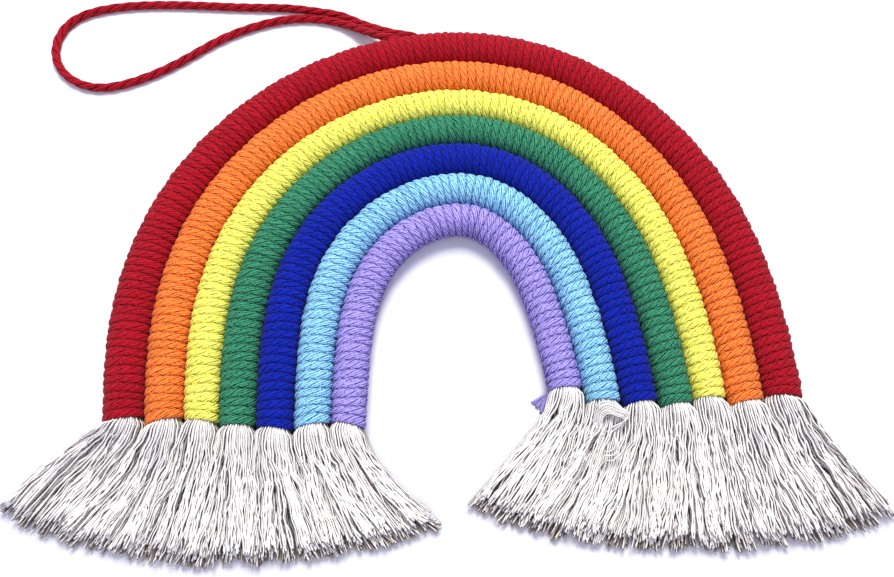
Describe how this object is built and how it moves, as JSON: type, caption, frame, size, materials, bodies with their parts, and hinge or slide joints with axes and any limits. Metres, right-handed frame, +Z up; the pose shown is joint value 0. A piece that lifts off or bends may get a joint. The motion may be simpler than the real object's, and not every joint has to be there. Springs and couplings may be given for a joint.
{
  "type": "rainbow wall hanging of cord-wrapped rope with a cotton fringe",
  "caption": "Rainbow-shaped wall hanging: nested arches of rope wound with coloured cotton cord, combed-out fringe at both feet, twisted cord loop to hang it by.",
  "frame": {"origin": "on the surface that the hanging lies on, under the middle of the arches and fringe, the loop left out", "axes": "+X to the right across both legs, +Y from the fringe to the top of the arches, +Z up from the surface, out of the hanging's front"},
  "size_m": [0.3534, 0.2578, 0.0163],
  "materials": {
    "lavender_cord": "matte twisted cotton cord",
    "sky_cord": "matte twisted cotton cord",
    "blue_cord": "matte twisted cotton cord",
    "green_cord": "matte twisted cotton cord",
    "yellow_cord": "matte twisted cotton cord",
    "orange_cord": "matte twisted cotton cord",
    "red_cord": "matte twisted cotton cord",
    "natural_cotton": "matte undyed cotton yarn"
  },
  "bodies": {
    "root": {"arch_lavender": "lavender_cord", "arch_sky": "sky_cord", "arch_blue": "blue_cord", "arch_green": "green_cord", "arch_yellow": "yellow_cord", "arch_orange": "orange_cord", "arch_red": "red_cord", "tassel_left_lavender": "natural_cotton", "tassel_left_sky": "natural_cotton", "tassel_left_blue": "natural_cotton", "tassel_left_green": "natural_cotton", "tassel_left_yellow": "natural_cotton", "tassel_left_orange": "natural_cotton", "tassel_left_red": "natural_cotton", "tassel_right_lavender": "natural_cotton", "tassel_right_sky": "natural_cotton", "tassel_right_blue": "natural_cotton", "tassel_right_green": "natural_cotton", "tassel_right_yellow": "natural_cotton", "tassel_right_orange": "natural_cotton", "tassel_right_red": "natural_cotton", "cord_end_lavender": "lavender_cord", "hanging_loop": "red_cord"}
  },
  "joints": []
}
